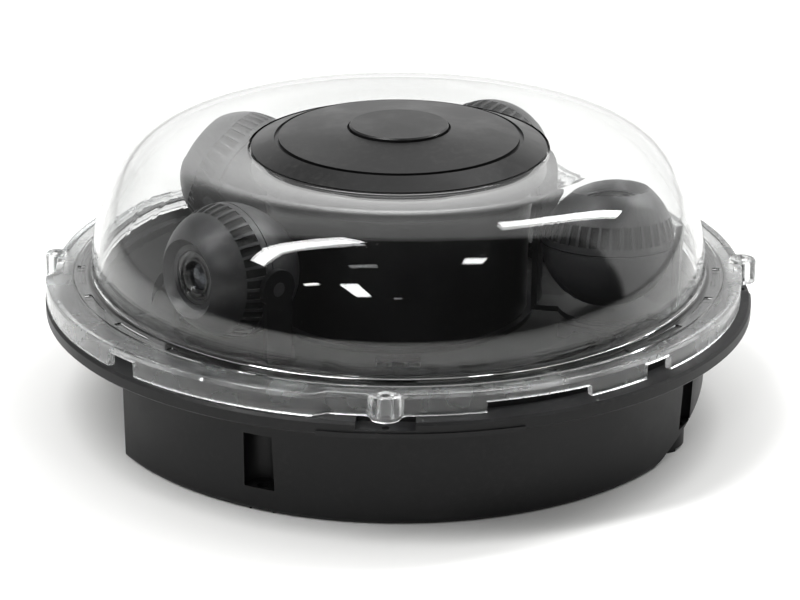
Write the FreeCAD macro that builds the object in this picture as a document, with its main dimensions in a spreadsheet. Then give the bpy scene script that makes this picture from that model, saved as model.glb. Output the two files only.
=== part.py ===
"""Multi-sensor dome camera: a round black base housing, a clear ring-shaped dome cover with a
black centre cap, and four ball cameras that ride on a circular track inside."""

import FreeCAD, Part
import math
import os
import re
import Sketcher

# Driving dimensions in millimetres and degrees. Heights are measured from the flat underside.
SIZES = {
    # base housing
    "rim_radius": 150.5,
    "rim_overhang": 17.5,
    "rim_top": 52,
    "rim_thick": 6,
    "rim_edge": 1,
    "wall_taper": 2,
    "foot_round": 3,
    "base_wall": 3,
    "base_floor": 3,
    "lower_wall": 5,
    "upstand_inset": 11.5,
    "upstand_wall": 4,
    "upstand_rise": 5.5,
    "ledge_width": 4,
    "ledge_azimuth": 40,
    "flat_depth": 20.5,
    "conduit_radius": 13.2,
    "conduit_height": 24,
    "conduit_head": 3,
    "conduit_edge": 0.6,
    "conduit_reach": 4,
    "conduit_bevel": 1.2,
    "conduit_key": 5,
    "entry_radius": 16,
    "ramp_depth": 27,
    "ramp_slope": 0.6,
    "ramp_step": 6,
    "channel_radius": 7,
    "channel_inset": 2,
    "channel_azimuth": 245.4,
    "channel_floor": 10.6,
    "channel_cover": 12,
    "channel_post": 12,
    "post_inset": 0.5,
    "channel_hole": 2.4,
    "foot_notch": 1.2,
    "foot_notch_width": 9.8,
    "bead_start": 258,
    "bead_sweep": 31,
    "bead_rise": 0.7,
    "bead_height": 2,
    "dimple_azimuth": 306.8,
    "dimple_radius": 2.2,
    "dimple_depth": 0.5,
    "box_screw_circle": 44.45,
    "box_screw_radius": 2.5,
    # screw bosses of the cover and their pockets in the rim
    "boss_inset": 3,
    "boss_radius": 6.3,
    "boss_bore": 2.4,
    "boss_rise": 2.3,
    "boss_lift": 1,
    "azimuth_front": 268.2,
    "azimuth_right": 1.4,
    "azimuth_rear": 88.6,
    "azimuth_left": 176.8,
    "pocket_depth": 3,
    "pocket_width": 23,
    "pocket_gap": 0.2,
    "thread_radius": 1.65,
    # clear cover
    "cover_wall": 3,
    "cover_lift": 2,
    "flange_edge": 0.8,
    "skirt_inset": 4.5,
    "skirt_lift": 1,
    "wide_inset": 0.5,
    "wide_start": 187.5,
    "wide_sweep": 70,
    "dome_inset": 19.8,
    "dome_foot": 1.5,
    "dome_rise": 54,
    "dome_reach": 38.7,
    "crown_radius": 31,
    "seat_dip": 5,
    "seat_margin": 1.2,
    "rib_offset": 4.5,
    "rib_width": 3.2,
    "rib_depth": 0.7,
    "rib_start": 3,
    "rib_sweep": 9,
    "rib_count": 24,
    "seal_width": 2.6,
    "seal_groove": 1.2,
    "seal_gap": 0.05,
    # centre cap
    "cap_radius": 62.3,
    "cap_seal_thick": 0.8,
    "cap_edge": 1,
    "cap_flange": 5.3,
    "cap_wall": 2.5,
    "bevel_width": 9.7,
    "bevel_rise": 5.6,
    "groove_width": 1.8,
    "groove_depth": 1,
    "groove_lip": 0.4,
    "cone_rise": 4,
    "plug_radius": 20.9,
    "plug_gap": 0.9,
    "plug_rise": 1.4,
    "plug_crown": 0.3,
    "plug_edge": 0.6,
    "plug_thick": 3.2,
    "plug_stem": 6,
    "stem_reach": 3,
    "stem_edge": 1,
    "spigot_gap": 0.5,
    "spigot_depth": 7,
    "lug_radius": 2.6,
    "lug_inset": 1.4,
    "lug_azimuth": 20,
    "lug_count": 6,
    "clamp_thick": 2.4,
    "clamp_gap": 0.1,
    "clamp_margin": 3,
    "clamp_screw_radius": 1.25,
    "clamp_screw_grip": 4.5,
    "thread_depth": 5,
    "clamp_head_radius": 2.4,
    "clamp_socket_radius": 1,
    "screw_head": 1.8,
    "screw_head_radius": 2.5,
    "ledge_head_radius": 2,
    "socket_radius": 1.1,
    "socket_depth": 1,
    "screw_gap": 0.3,
    "tip_gap": 0.5,
    # chassis, hub and track
    "chassis_gap": 0.3,
    "chassis_sheet": 2.5,
    "tray_drop": 3,
    "tray_gap": 2.5,
    "chassis_bore": 24,
    "cable_slot_width": 18,
    "cable_slot_depth": 10,
    "rail_width": 12,
    "rail_height": 4,
    "rail_edge": 0.6,
    "hub_gap": 7.5,
    "hub_wall": 2.2,
    "hub_round": 4,
    "hub_drop": 6,
    "hub_flange": 3,
    "hub_post": 3.4,
    "hub_screw_inset": 10,
    "hub_screw_length": 8,
    # camera modules
    "dome_gap": 10.2,
    "carriage_width": 27,
    "carriage_sweep": 30,
    "carriage_web": 2.5,
    "slide_gap": 0.3,
    "glide_gap": 0.1,
    "pivot_radius": 5,
    "pivot_rise": 2.4,
    "running_gap": 0.05,
    "yoke_disc": 20,
    "yoke_gap": 1.1,
    "arm_width": 13,
    "arm_thick": 2.5,
    "arm_gap": 0.5,
    "arm_end": 8,
    "ball_radius": 27.5,
    "ball_wall": 2,
    "seam_gap": 0.3,
    "mouth_radius": 16,
    "recess_radius": 13.3,
    "recess_floor": 18.9,
    "front_back": 15.5,
    "slot_low": 6.5,
    "slot_high": 25,
    "slot_depth": 1.3,
    "slot_sweep": 7,
    "slot_count": 36,
    "lip_thick": 1.6,
    "lip_gap": 0.25,
    "lip_rise": 2.2,
    "pin_radius": 2.8,
    "pin_gap": 0.2,
    "barrel_radius": 11,
    "barrel_face": 18.5,
    "barrel_flange": 2,
    "flange_gap": 0.2,
    "barrel_back": 4,
    "barrel_bore": 4.6,
    "barrel_edge": 0.4,
    "ring_land": 1.4,
    "ring_groove": 0.8,
    "ring_depth": 0.9,
    "ring_step": 0.3,
    "glass_radius": 5.6,
    "glass_top": 17.4,
    "glass_seat": 14.6,
    "glass_edge": 1.6,
    "board_size": 25,
    "board_thick": 1.6,
    "plug_in_length": 9,
    "plug_in_width": 4,
    "plug_in_height": 2.4,
    "gland_radius": 5,
    # electronics in the base
    "main_board_length": 150,
    "main_board_width": 112,
    "main_board_height": 14,
    "standoff_inset_x": 9,
    "standoff_inset_y": 8,
    "standoff_radius": 3.5,
    "board_screw_radius": 1.25,
    "board_screw_length": 7,
    "chip_size": 24,
    "chip_height": 1.5,
    "chip_shift": 10,
    "wire_socket_length": 11,
    "wire_socket_pitch": 18,
    "wire_socket_width": 5,
    "wire_socket_height": 4,
    "wire_socket_inset": 11,
    "sink_size": 54,
    "sink_height": 11,
    "sink_base": 2.5,
    "fin_count": 9,
    "fin_thick": 1.8,
    "jack_length": 21,
    "jack_width": 16,
    "jack_height": 13.4,
    "jack_mouth_depth": 12,
    "jack_mouth_width": 11.8,
    "jack_mouth_height": 8,
    "jack_mouth_lift": 2.4,
    "grommet_lip": 3,
    "grommet_hollow": 5,
    "grommet_top": 1.6,
    "grommet_web": 1.2,
    "grommet_recess": 0.8,
    "grommet_bevel": 1,
    # how far a cut runs past the face that it opens
    "past": 1,
}

# Sizes that follow from the driving ones
LINKED = {
    "wall_radius": "rim_radius - rim_overhang",
    "foot_radius": "wall_radius - wall_taper",
    "bore_radius": "wall_radius - base_wall",
    "cavity_radius": "wall_radius - lower_wall",
    "ledge_radius": "bore_radius - ledge_width",
    "ledge_screw_circle": "ledge_radius + ledge_width / 2",
    "ledge_height": "rim_top - rim_thick",
    "upstand_radius": "rim_radius - upstand_inset",
    "upstand_top": "rim_top + upstand_rise",
    "flat_distance": "wall_radius - flat_depth",
    "ramp_start": "foot_radius - ramp_depth",
    "channel_circle": "foot_radius - channel_inset",
    "channel_top": "ledge_height - channel_cover",
    "bead_radius": "rim_radius + bead_rise",
    "boss_circle": "rim_radius - boss_inset",
    "pocket_reach": "boss_circle - boss_radius - pocket_gap",
    "flange_top": "upstand_top + cover_lift + cover_wall",
    "boss_top": "flange_top + boss_rise",
    "boss_bottom": "skirt_bottom + boss_lift",
    "skirt_radius": "rim_radius - skirt_inset",
    "skirt_bottom": "rim_top + skirt_lift",
    "wide_radius": "rim_radius - wide_inset",
    "dome_radius": "rim_radius - dome_inset",
    "dome_spring": "flange_top + dome_foot",
    "dome_top": "dome_spring + dome_rise",
    "rib_circle": "dome_radius + rib_offset",
    "seat_radius": "cap_radius + seat_margin",
    "seat_height": "dome_top - seat_dip",
    "spigot_radius": "cap_radius - cap_flange",
    "spigot_bottom": "seat_height - spigot_depth",
    "dome_hole": "spigot_radius + spigot_gap",
    "lug_circle": "spigot_radius - cap_wall - lug_inset",
    "clamp_outer": "seat_radius - cap_edge",
    "bevel_radius": "cap_radius - bevel_width",
    "bevel_height": "seat_height + bevel_rise",
    "cone_height": "bevel_height + cone_rise",
    "plug_top": "cone_height + plug_rise",
    "plug_floor": "plug_top - plug_thick",
    "track_circle": "dome_radius - cover_wall - dome_gap - ball_radius",
    "tray_floor": "ledge_height - tray_drop",
    "tray_radius": "track_circle + carriage_width / 2 + tray_gap",
    "hub_radius": "track_circle - ball_radius - hub_gap",
    "hub_foot": "hub_radius + hub_flange",
    "hub_screw_circle": "hub_radius - hub_screw_inset",
    "hub_top": "spigot_bottom - hub_drop",
    "carriage_top": "tray_floor + rail_height + carriage_web",
    "yoke_top": "carriage_top + pivot_rise",
    "ball_height": "yoke_top + yoke_gap + ball_radius",
    "board_top": "main_board_height + board_thick",
    "standoff_x": "main_board_length / 2 - standoff_inset_x",
    "standoff_y": "main_board_width / 2 - standoff_inset_y",
}

# Where each camera stands on the track, where it looks from straight out, and how far it looks up
CAMERAS = {
    "front_left": {"track": 221.5, "pan": 0, "lift": 3},
    "right": {"track": 345, "pan": 93, "lift": 85},
    "rear_right": {"track": 63, "pan": -8, "lift": 22},
    "rear_left": {"track": 139.5, "pan": 14, "lift": 28},
}
for camera, angles in CAMERAS.items():
    for angle, degrees in angles.items():
        SIZES[f"{angle}_{camera}"] = degrees

# Where the cover's skirt is cut away, and how far below the flange's top
NOTCHES = {
    "left": {"start": 219.9, "sweep": 6, "drop": 3.5},
    "right": {"start": 312.3, "sweep": 5.7, "drop": 3.5},
    "rear_right": {"start": 42, "sweep": 6, "drop": 3.5},
    "rear_left": {"start": 131, "sweep": 6, "drop": 3.5},
    "front": {"start": 283.6, "sweep": 17.5, "drop": 5.1},
}
for name, notch in NOTCHES.items():
    for word, number in notch.items():
        SIZES[f"notch_{word}_{name}"] = number

BOSSES = ("front", "right", "rear", "left")

doc = FreeCAD.newDocument("multi_sensor_dome_camera")
sheet = doc.addObject("Spreadsheet::Sheet", "dims")
for row, (alias, number) in enumerate(SIZES.items(), start=1):
    sheet.set(f"A{row}", alias)
    sheet.set(f"B{row}", str(number))
    sheet.setAlias(f"B{row}", alias)
doc.recompute()

sub_parts = []


def bound(text):
    """An expression in plain size names, with each name tied to its cell."""
    return re.sub(r"[a-z_][a-z_0-9]*", lambda word: tied(word[0]), str(text))


def tied(word):
    if word in LINKED:
        return f"({bound(LINKED[word])})"
    return f"dims.{word}" if word in SIZES else word


def value(text):
    return float(sheet.evalExpression(bound(text)))


def place(x="0", y="0", z="0", axis="0; 0; 1", angle="0"):
    """A placement expression: moved to x, y, z and turned by angle about axis."""
    return f"placement(vector({bound(x)}; {bound(y)}; {bound(z)}); rotation(vector({axis}); {bound(angle)}))"


def new_body(label, placement=None):
    body = doc.addObject("PartDesign::Body", label)
    body.Label = label
    body.AllowCompound = True
    if placement:
        body.setExpression("Placement", placement)
    sub_parts.append(body)
    return body


def origin(body, role):
    return next(item for item in body.Origin.OriginFeatures if item.Role == role)


def new_sketch(body, name, plane, offset=None):
    sketch = body.newObject("Sketcher::SketchObject", name)
    sketch.AttachmentSupport = (origin(body, plane), [""])
    sketch.MapMode = "FlatFace"
    if offset:
        sketch.setExpression("AttachmentOffset", offset)
    return sketch


def hold(sketch, kind, *where, expression):
    """A dimension of a sketch, tied to the sheet."""
    index = sketch.addConstraint(Sketcher.Constraint(kind, *where, value(expression)))
    sketch.setExpression(f"Constraints[{index}]", bound(expression))


def draw_circle(sketch, x, y, radius):
    centre = FreeCAD.Vector(value(x), value(y), 0)
    edge = sketch.addGeometry(Part.Circle(centre, FreeCAD.Vector(0, 0, 1), value(radius)), False)
    hold(sketch, "DistanceX", -1, 1, edge, 3, expression=x)
    hold(sketch, "DistanceY", -1, 1, edge, 3, expression=y)
    hold(sketch, "Radius", edge, expression=radius)


def draw_loop(sketch, corners):
    """A closed outline. A corner is (x, y), or (x, y, radius, side) where an arc leads to the next
    corner, with its centre on the left of the way for side 1 and on the right for side -1."""
    ends = []
    for index, corner in enumerate(corners):
        following = corners[(index + 1) % len(corners)]
        a = FreeCAD.Vector(value(corner[0]), value(corner[1]), 0)
        b = FreeCAD.Vector(value(following[0]), value(following[1]), 0)
        if len(corner) == 2:
            edge = sketch.addGeometry(Part.LineSegment(a, b), False)
            ends.append((edge, 1, 2))
            continue
        radius, side = value(corner[2]), corner[3]
        half = (b - a).Length / 2
        left = FreeCAD.Vector(a.y - b.y, b.x - a.x, 0).normalize()
        centre = (a + b) / 2 + left * side * math.sqrt(max(radius**2 - half**2, 0))
        first, last = (a, b) if side > 0 else (b, a)
        angles = [math.atan2(point.y - centre.y, point.x - centre.x) for point in (first, last)]
        circle = Part.Circle(centre, FreeCAD.Vector(0, 0, 1), radius)
        edge = sketch.addGeometry(Part.ArcOfCircle(circle, *angles), False)
        ends.append((edge, 1, 2) if side > 0 else (edge, 2, 1))
    for index, (edge, _, finish) in enumerate(ends):
        next_edge, next_start, _ = ends[(index + 1) % len(ends)]
        sketch.addConstraint(Sketcher.Constraint("Coincident", edge, finish, next_edge, next_start))
    for (edge, start, _), corner in zip(ends, corners):
        hold(sketch, "DistanceX", -1, 1, edge, start, expression=corner[0])
        hold(sketch, "DistanceY", -1, 1, edge, start, expression=corner[1])
        if len(corner) == 4:
            hold(sketch, "Radius", edge, expression=corner[2])


def turn(body, name, corners, start=None, sweep="360", cut=False):
    """Turns an outline of (radius, height) corners about the body's Z axis, from azimuth start."""
    offset = place(axis="0; 1; 0", angle=start) if start else None
    sketch = new_sketch(body, name + "_outline", "XZ_Plane", offset)
    draw_loop(sketch, corners)
    feature = body.newObject("PartDesign::Groove" if cut else "PartDesign::Revolution", name)
    feature.Profile = sketch
    feature.ReferenceAxis = (sketch, ["V_Axis"])
    feature.setExpression("Angle", bound(sweep))
    return feature


def raise_up(body, name, loops, base, height, plane="XY_Plane", cut=False):
    """Pads or cuts closed outlines from a base level through a height, both along the plane's normal."""
    sketch = new_sketch(body, name + "_outline", plane, place(z=base))
    for loop in loops:
        if loop[0] == "circle":
            draw_circle(sketch, *loop[1:])
        else:
            draw_loop(sketch, loop)
    feature = body.newObject("PartDesign::Pocket" if cut else "PartDesign::Pad", name)
    feature.Profile = sketch
    feature.Reversed = cut
    feature.setExpression("Length", bound(height))
    return feature


def cylinder(body, name, radius, height, where, cut=True):
    kind = "PartDesign::SubtractiveCylinder" if cut else "PartDesign::AdditiveCylinder"
    feature = body.newObject(kind, name)
    feature.setExpression("Radius", bound(radius))
    feature.setExpression("Height", bound(height))
    feature.setExpression("Placement", where)
    return feature


def block(body, name, length, width, height, where, cut=True):
    kind = "PartDesign::SubtractiveBox" if cut else "PartDesign::AdditiveBox"
    feature = body.newObject(kind, name)
    feature.setExpression("Length", bound(length))
    feature.setExpression("Width", bound(width))
    feature.setExpression("Height", bound(height))
    feature.setExpression("Placement", where)
    return feature


def around(body, name, features, count, angle="360"):
    """Repeats features about the body's Z axis."""
    pattern = body.newObject("PartDesign::PolarPattern", name)
    pattern.Originals = features
    pattern.Axis = (origin(body, "Z_Axis"), [""])
    pattern.setExpression("Angle", bound(angle))
    pattern.setExpression("Occurrences", bound(count))
    body.Tip = pattern
    return pattern


def polar(radius, azimuth, z="0", along=""):
    """The placement at a radius and azimuth, with X pointing outwards; along adds a further turn."""
    return place(angle=azimuth) + " * " + place(x=radius, z=z) + along


def ring(inner, outer, low, high):
    """The corners of a plain rectangular ring section."""
    return [(inner, low), (outer, low), (outer, high), (inner, high)]


ON_ITS_SIDE = " * " + place(axis="0; 1; 0", angle="-90")


def make_base_housing():
    body = new_body("base_housing")
    low_rim = "ledge_height"
    turn(body, "outer_form", [
        ("0", "0"),
        ("foot_radius - foot_round", "0", "foot_round", 1),
        ("foot_radius", "foot_round"),
        ("wall_radius", low_rim),
        ("rim_radius - rim_edge", low_rim),
        ("rim_radius", f"{low_rim} + rim_edge"),
        ("rim_radius", "rim_top - rim_edge"),
        ("rim_radius - rim_edge", "rim_top"),
        ("upstand_radius", "rim_top"),
        ("upstand_radius", "upstand_top"),
        ("0", "upstand_top"),
    ])
    turn(body, "front_bead", ring("wall_radius + past", "bead_radius", low_rim, f"{low_rim} + bead_height"),
         start="bead_start", sweep="bead_sweep")
    ledge_low = "ledge_height - base_wall"
    turn(body, "upper_cavity", [
        ("0", ledge_low),
        ("ledge_radius", ledge_low),
        ("ledge_radius", "ledge_height"),
        ("bore_radius", "ledge_height"),
        ("bore_radius", "rim_top"),
        ("upstand_radius - upstand_wall", "rim_top"),
        ("upstand_radius - upstand_wall", "upstand_top + past"),
        ("0", "upstand_top + past"),
    ], cut=True)
    seal_middle = "upstand_radius - upstand_wall / 2"
    turn(body, "seal_seat", ring(
        f"{seal_middle} - seal_width / 2", f"{seal_middle} + seal_width / 2",
        "upstand_top - seal_groove", "upstand_top + past"), cut=True)
    left = "-flat_distance + base_wall"
    left_half = f"sqrt(cavity_radius ^ 2 - ({left}) ^ 2)"
    roof_half = f"sqrt((ledge_radius + past) ^ 2 - ({left}) ^ 2)"
    raise_up(body, "flat_roof", [[
        (left, roof_half, "ledge_radius + past", 1),
        (left, f"-({roof_half})"),
    ]], ledge_low, "base_wall")
    # the lower cavity steps out above the ramp, so that the ramp keeps a wall of its own
    for step in range(3):
        low = f"base_floor + {step} * ramp_step"
        high = f"base_floor + {step + 1} * ramp_step" if step < 2 else ledge_low
        right = f"ramp_start + ({low}) / ramp_slope - base_wall * sqrt(1 + 1 / ramp_slope ^ 2)"
        right_half = f"sqrt(cavity_radius ^ 2 - ({right}) ^ 2)"
        raise_up(body, f"lower_cavity_{step}", [[
            (right, f"-({right_half})"),
            (right, right_half, "cavity_radius", 1),
            (left, left_half),
            (left, f"-({left_half})", "cavity_radius", 1),
        ]], low, f"{high} - ({low})", cut=True)
    block(body, "flat", "rim_radius - flat_distance", "2 * rim_radius", ledge_low,
          place(x="-rim_radius", y="-rim_radius"))
    raise_up(body, "ramp", [[
        ("ramp_start - past / ramp_slope", "-past"),
        ("rim_radius", "-past"),
        ("rim_radius", "(rim_radius - ramp_start) * ramp_slope"),
    ]], "-rim_radius", "2 * rim_radius", plane="XZ_Plane", cut=True)
    post_circle = "foot_radius - channel_post - post_inset"
    post = cylinder(body, "channel_post_form", "channel_post", "channel_top + base_wall",
                    polar(post_circle, "channel_azimuth"), cut=False)
    around(body, "channel_posts", [post], "3", "180")
    channel = cylinder(body, "channel", "channel_radius", "channel_top - channel_floor",
                       polar("channel_circle", "channel_azimuth", "channel_floor"))
    around(body, "channels", [channel], "3", "180")
    hole = cylinder(body, "channel_hole_form", "channel_hole", "channel_floor + 2 * past",
                    polar("foot_radius - foot_round", "channel_azimuth", "-past"))
    around(body, "channel_holes", [hole], "3", "180")
    notch = block(body, "foot_notch_form", "foot_radius", "foot_notch_width", "foot_notch + past",
                  place(angle="channel_azimuth") + " * "
                  + place(x="foot_radius - 2 * foot_round", y="-foot_notch_width / 2", z="-past"))
    around(body, "foot_notches", [notch], "3", "180")
    cylinder(body, "dimple", "dimple_radius", "2 * base_wall",
             polar("wall_radius - dimple_depth", "dimple_azimuth", f"{low_rim} - dimple_radius - rim_edge",
                   ON_ITS_SIDE))
    for name in BOSSES:
        block(body, f"rim_pocket_{name}", "rim_radius - pocket_reach + 2 * past", "pocket_width",
              "pocket_depth + past", place(angle=f"azimuth_{name}") + " * "
              + place(x="pocket_reach", y="-pocket_width / 2", z="rim_top - pocket_depth"))
        cylinder(body, f"rim_thread_{name}", "thread_radius", "rim_thick + 2 * past",
                 polar("boss_circle", f"azimuth_{name}", f"{low_rim} - past"))
    cylinder(body, "cable_entry", "entry_radius", "base_floor + 2 * past", place(z="-past"))
    box_hole = cylinder(body, "box_hole", "box_screw_radius", "base_floor + 2 * past",
                        polar("box_screw_circle", "45", "-past"))
    around(body, "box_holes", [box_hole], "4")
    cylinder(body, "conduit_hole", "conduit_radius", "base_wall + 2 * past",
             place(x="-flat_distance - past", z="conduit_height", axis="0; 1; 0", angle="90"))
    for index, (x_side, y_side) in enumerate(((1, 1), (-1, 1), (-1, -1), (1, -1))):
        x, y = f"{x_side} * standoff_x", f"{y_side} * standoff_y"
        cylinder(body, f"standoff_{index}", "standoff_radius", "main_board_height - base_floor",
                 place(x, y, "base_floor"), cut=False)
        cylinder(body, f"standoff_hole_{index}", "board_screw_radius",
                 "main_board_height - base_floor - past", place(x, y, "base_floor + 2 * past"))
    thread = cylinder(body, "ledge_thread", "board_screw_radius", "base_wall + 2 * past",
                      polar("ledge_screw_circle", "ledge_azimuth", f"{ledge_low} - past"))
    around(body, "ledge_threads", [thread], "4")
    return body


def make_cover_seal():
    body = new_body("cover_seal")
    middle = "upstand_radius - upstand_wall / 2"
    half = "seal_width / 2"
    turn(body, "seal", ring(f"{middle} - {half}", f"{middle} + {half}", "upstand_top - seal_groove",
                            "upstand_top + cover_lift - seal_gap"))


def make_dome_cover():
    body = new_body("dome_cover")
    wall = "cover_wall"
    rise = "(dome_top - dome_spring)"
    side_radius = f"((dome_reach ^ 2 + {rise} ^ 2 - 2 * {rise} * crown_radius)"
    side_radius += " / (2 * (dome_reach - crown_radius)))"
    # the shoulder is two tangent arcs; they meet on the line through their centres
    lean = f"atan2({rise} - crown_radius; {side_radius} - dome_reach)"
    crown_middle = "dome_radius - dome_reach"
    joint_r = f"{crown_middle} + crown_radius * cos({lean})"
    joint_z = f"dome_top - crown_radius + crown_radius * sin({lean})"
    inner_joint_r = f"{crown_middle} + (crown_radius - {wall}) * cos({lean})"
    inner_joint_z = f"dome_top - crown_radius + (crown_radius - {wall}) * sin({lean})"
    dip_radius = f"((({crown_middle} - seat_radius) ^ 2 + (dome_top - seat_height) ^ 2)"
    dip_radius += " / (2 * (dome_top - seat_height)))"
    turn(body, "dome", [
        ("dome_radius - cover_wall", "flange_top - cover_wall"),
        ("skirt_radius - cover_wall", "flange_top - cover_wall"),
        ("skirt_radius - cover_wall", "flange_top"),
        ("dome_radius", "flange_top"),
        ("dome_radius", "dome_spring", side_radius, 1),
        (joint_r, joint_z, "crown_radius", 1),
        (crown_middle, "dome_top", dip_radius, 1),
        ("seat_radius", "seat_height"),
        ("dome_hole", "seat_height"),
        ("dome_hole", "seat_height - cover_wall"),
        ("seat_radius", "seat_height - cover_wall", f"{dip_radius} - {wall}", -1),
        (crown_middle, f"dome_top - {wall}", f"crown_radius - {wall}", -1),
        (inner_joint_r, inner_joint_z, f"{side_radius} - {wall}", -1),
        ("dome_radius - cover_wall", "dome_spring"),
    ])
    for name, radius, start, sweep in (
        ("skirt", "skirt_radius", "wide_start + wide_sweep", "360 - wide_sweep"),
        ("wide_skirt", "wide_radius", "wide_start", "wide_sweep"),
    ):
        turn(body, name, [
            (f"{radius} - cover_wall", "skirt_bottom"),
            (radius, "skirt_bottom"),
            (radius, "flange_top - flange_edge"),
            (f"{radius} - flange_edge", "flange_top"),
            ("skirt_radius - cover_wall - past", "flange_top"),
            ("skirt_radius - cover_wall - past", "flange_top - cover_wall"),
            (f"{radius} - cover_wall", "flange_top - cover_wall"),
        ], start=start, sweep=sweep)
    for name in BOSSES:
        cylinder(body, f"boss_{name}", "boss_radius", "boss_top - boss_bottom",
                 polar("boss_circle", f"azimuth_{name}", "boss_bottom"), cut=False)
    for name in BOSSES:
        cylinder(body, f"boss_bore_{name}", "boss_bore", "boss_top - boss_bottom + 2 * past",
                 polar("boss_circle", f"azimuth_{name}", "boss_bottom - past"))
    for name in NOTCHES:
        turn(body, f"notch_{name}", ring("skirt_radius - cover_wall - past / 2", "wide_radius + past",
                                         "skirt_bottom - past", f"flange_top - notch_drop_{name}"),
             start=f"notch_start_{name}", sweep=f"notch_sweep_{name}", cut=True)
    recess = turn(body, "flange_recess", ring(
        "rib_circle - rib_width / 2", "rib_circle + rib_width / 2", "flange_top - rib_depth",
        "flange_top + past"), start="rib_start", sweep="rib_sweep", cut=True)
    around(body, "flange_recesses", [recess], "rib_count")
    return body


def make_cap_seal():
    body = new_body("cap_seal")
    turn(body, "seal", ring("dome_hole + spigot_gap", "cap_radius - cap_seal_thick", "seat_height",
                            "seat_height + cap_seal_thick"))


def make_centre_cap():
    body = new_body("centre_cap")
    underside = "seat_height + cap_seal_thick"
    well = "plug_radius + plug_gap"
    groove = "bevel_radius - groove_width"
    turn(body, "cap", [
        ("0", "plug_floor - cap_wall"),
        (f"{well} + cap_wall", "plug_floor - cap_wall"),
        (groove, "bevel_height - cap_wall - groove_depth"),
        ("spigot_radius - cap_wall", f"{underside} - cap_edge"),
        ("spigot_radius - cap_wall", "spigot_bottom"),
        ("spigot_radius", "spigot_bottom"),
        ("spigot_radius", underside),
        ("cap_radius", underside),
        ("cap_radius", f"{underside} + cap_edge"),
        ("bevel_radius", "bevel_height"),
        ("bevel_radius", "bevel_height - groove_depth"),
        (groove, "bevel_height - groove_depth"),
        (groove, "bevel_height + groove_lip"),
        (well, "cone_height"),
        (well, "plug_floor"),
        ("0", "plug_floor"),
    ])
    cylinder(body, "plug_socket", "plug_stem + running_gap", "cap_wall + 2 * past",
             place(z="plug_floor - cap_wall - past"))
    lug = cylinder(body, "screw_lug", "lug_radius", f"{underside} - spigot_bottom",
                   polar("lug_circle", "lug_azimuth", "spigot_bottom"), cut=False)
    around(body, "screw_lugs", [lug], "lug_count")
    thread = cylinder(body, "lug_thread", "clamp_screw_radius", "thread_depth + past",
                      polar("lug_circle", "lug_azimuth", "spigot_bottom - past"))
    around(body, "lug_threads", [thread], "lug_count")
    return body


def make_clamp_ring():
    """The ring under the clear cover; screws draw it up against the cap's lugs."""
    body = new_body("cap_clamp_ring")
    top = "spigot_bottom"
    cover_underside = "seat_height - cover_wall - clamp_gap"
    turn(body, "ring_form", [
        ("lug_circle - clamp_margin", f"{top} - clamp_thick"),
        ("clamp_outer", f"{top} - clamp_thick"),
        ("clamp_outer", cover_underside),
        ("clamp_outer - clamp_thick", cover_underside),
        ("clamp_outer - clamp_thick", top),
        ("lug_circle - clamp_margin", top),
    ])
    hole = cylinder(body, "screw_hole", "clamp_screw_radius + screw_gap", "clamp_thick + 2 * past",
                    polar("lug_circle", "lug_azimuth", f"{top} - clamp_thick - past"))
    around(body, "screw_holes", [hole], "lug_count")


def make_clamp_screws():
    body = new_body("cap_clamp_screws")
    low = "spigot_bottom - clamp_thick"
    seat = polar("lug_circle", "lug_azimuth", low)
    head_low = polar("lug_circle", "lug_azimuth", f"{low} - screw_head")
    head = cylinder(body, "head", "clamp_head_radius", "screw_head", head_low, cut=False)
    shank = cylinder(body, "shank", "clamp_screw_radius", "clamp_thick + clamp_screw_grip", seat, cut=False)
    socket = cylinder(body, "socket", "clamp_socket_radius", "socket_depth", head_low)
    around(body, "screws", [head, shank, socket], "lug_count")


def make_centre_plug():
    body = new_body("centre_plug")
    turn(body, "plug", [
        ("0", "plug_floor - cap_wall - stem_reach"),
        ("plug_stem - stem_edge", "plug_floor - cap_wall - stem_reach"),
        ("plug_stem", "plug_floor - cap_wall - stem_reach + 2 * stem_edge"),
        ("plug_stem", "plug_floor"),
        ("plug_radius", "plug_floor"),
        ("plug_radius", "plug_top - plug_edge"),
        ("plug_radius - plug_edge", "plug_top"),
        ("0", "plug_top + plug_crown"),
    ])


def make_chassis():
    """The round tray that carries the track; its edge is screwed down on the base's inner ledge."""
    body = new_body("chassis")
    turn(body, "tray", [
        ("chassis_bore", "tray_floor - chassis_sheet"),
        ("tray_radius + chassis_sheet", "tray_floor - chassis_sheet"),
        ("tray_radius + chassis_sheet", "ledge_height"),
        ("bore_radius - chassis_gap", "ledge_height"),
        ("bore_radius - chassis_gap", "ledge_height + chassis_sheet"),
        ("tray_radius", "ledge_height + chassis_sheet"),
        ("tray_radius", "tray_floor"),
        ("chassis_bore", "tray_floor"),
    ])
    hole = cylinder(body, "screw_hole", "board_screw_radius + screw_gap", "chassis_sheet + 2 * past",
                    polar("ledge_screw_circle", "ledge_azimuth", "ledge_height - past"))
    around(body, "screw_holes", [hole], "4")
    hub_hole = cylinder(body, "hub_screw_hole", "board_screw_radius + screw_gap", "chassis_sheet + 2 * past",
                        polar("hub_screw_circle", "0", "tray_floor - chassis_sheet - past"))
    around(body, "hub_screw_holes", [hub_hole], "4")
    slot = block(body, "cable_slot", "cable_slot_depth", "cable_slot_width", "chassis_sheet + 2 * past",
                 place(angle="90") + " * " + place(x="hub_foot + hub_flange", y="-cable_slot_width / 2",
                                                   z="tray_floor - chassis_sheet - past"))
    around(body, "cable_slots", [slot], "4")


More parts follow.
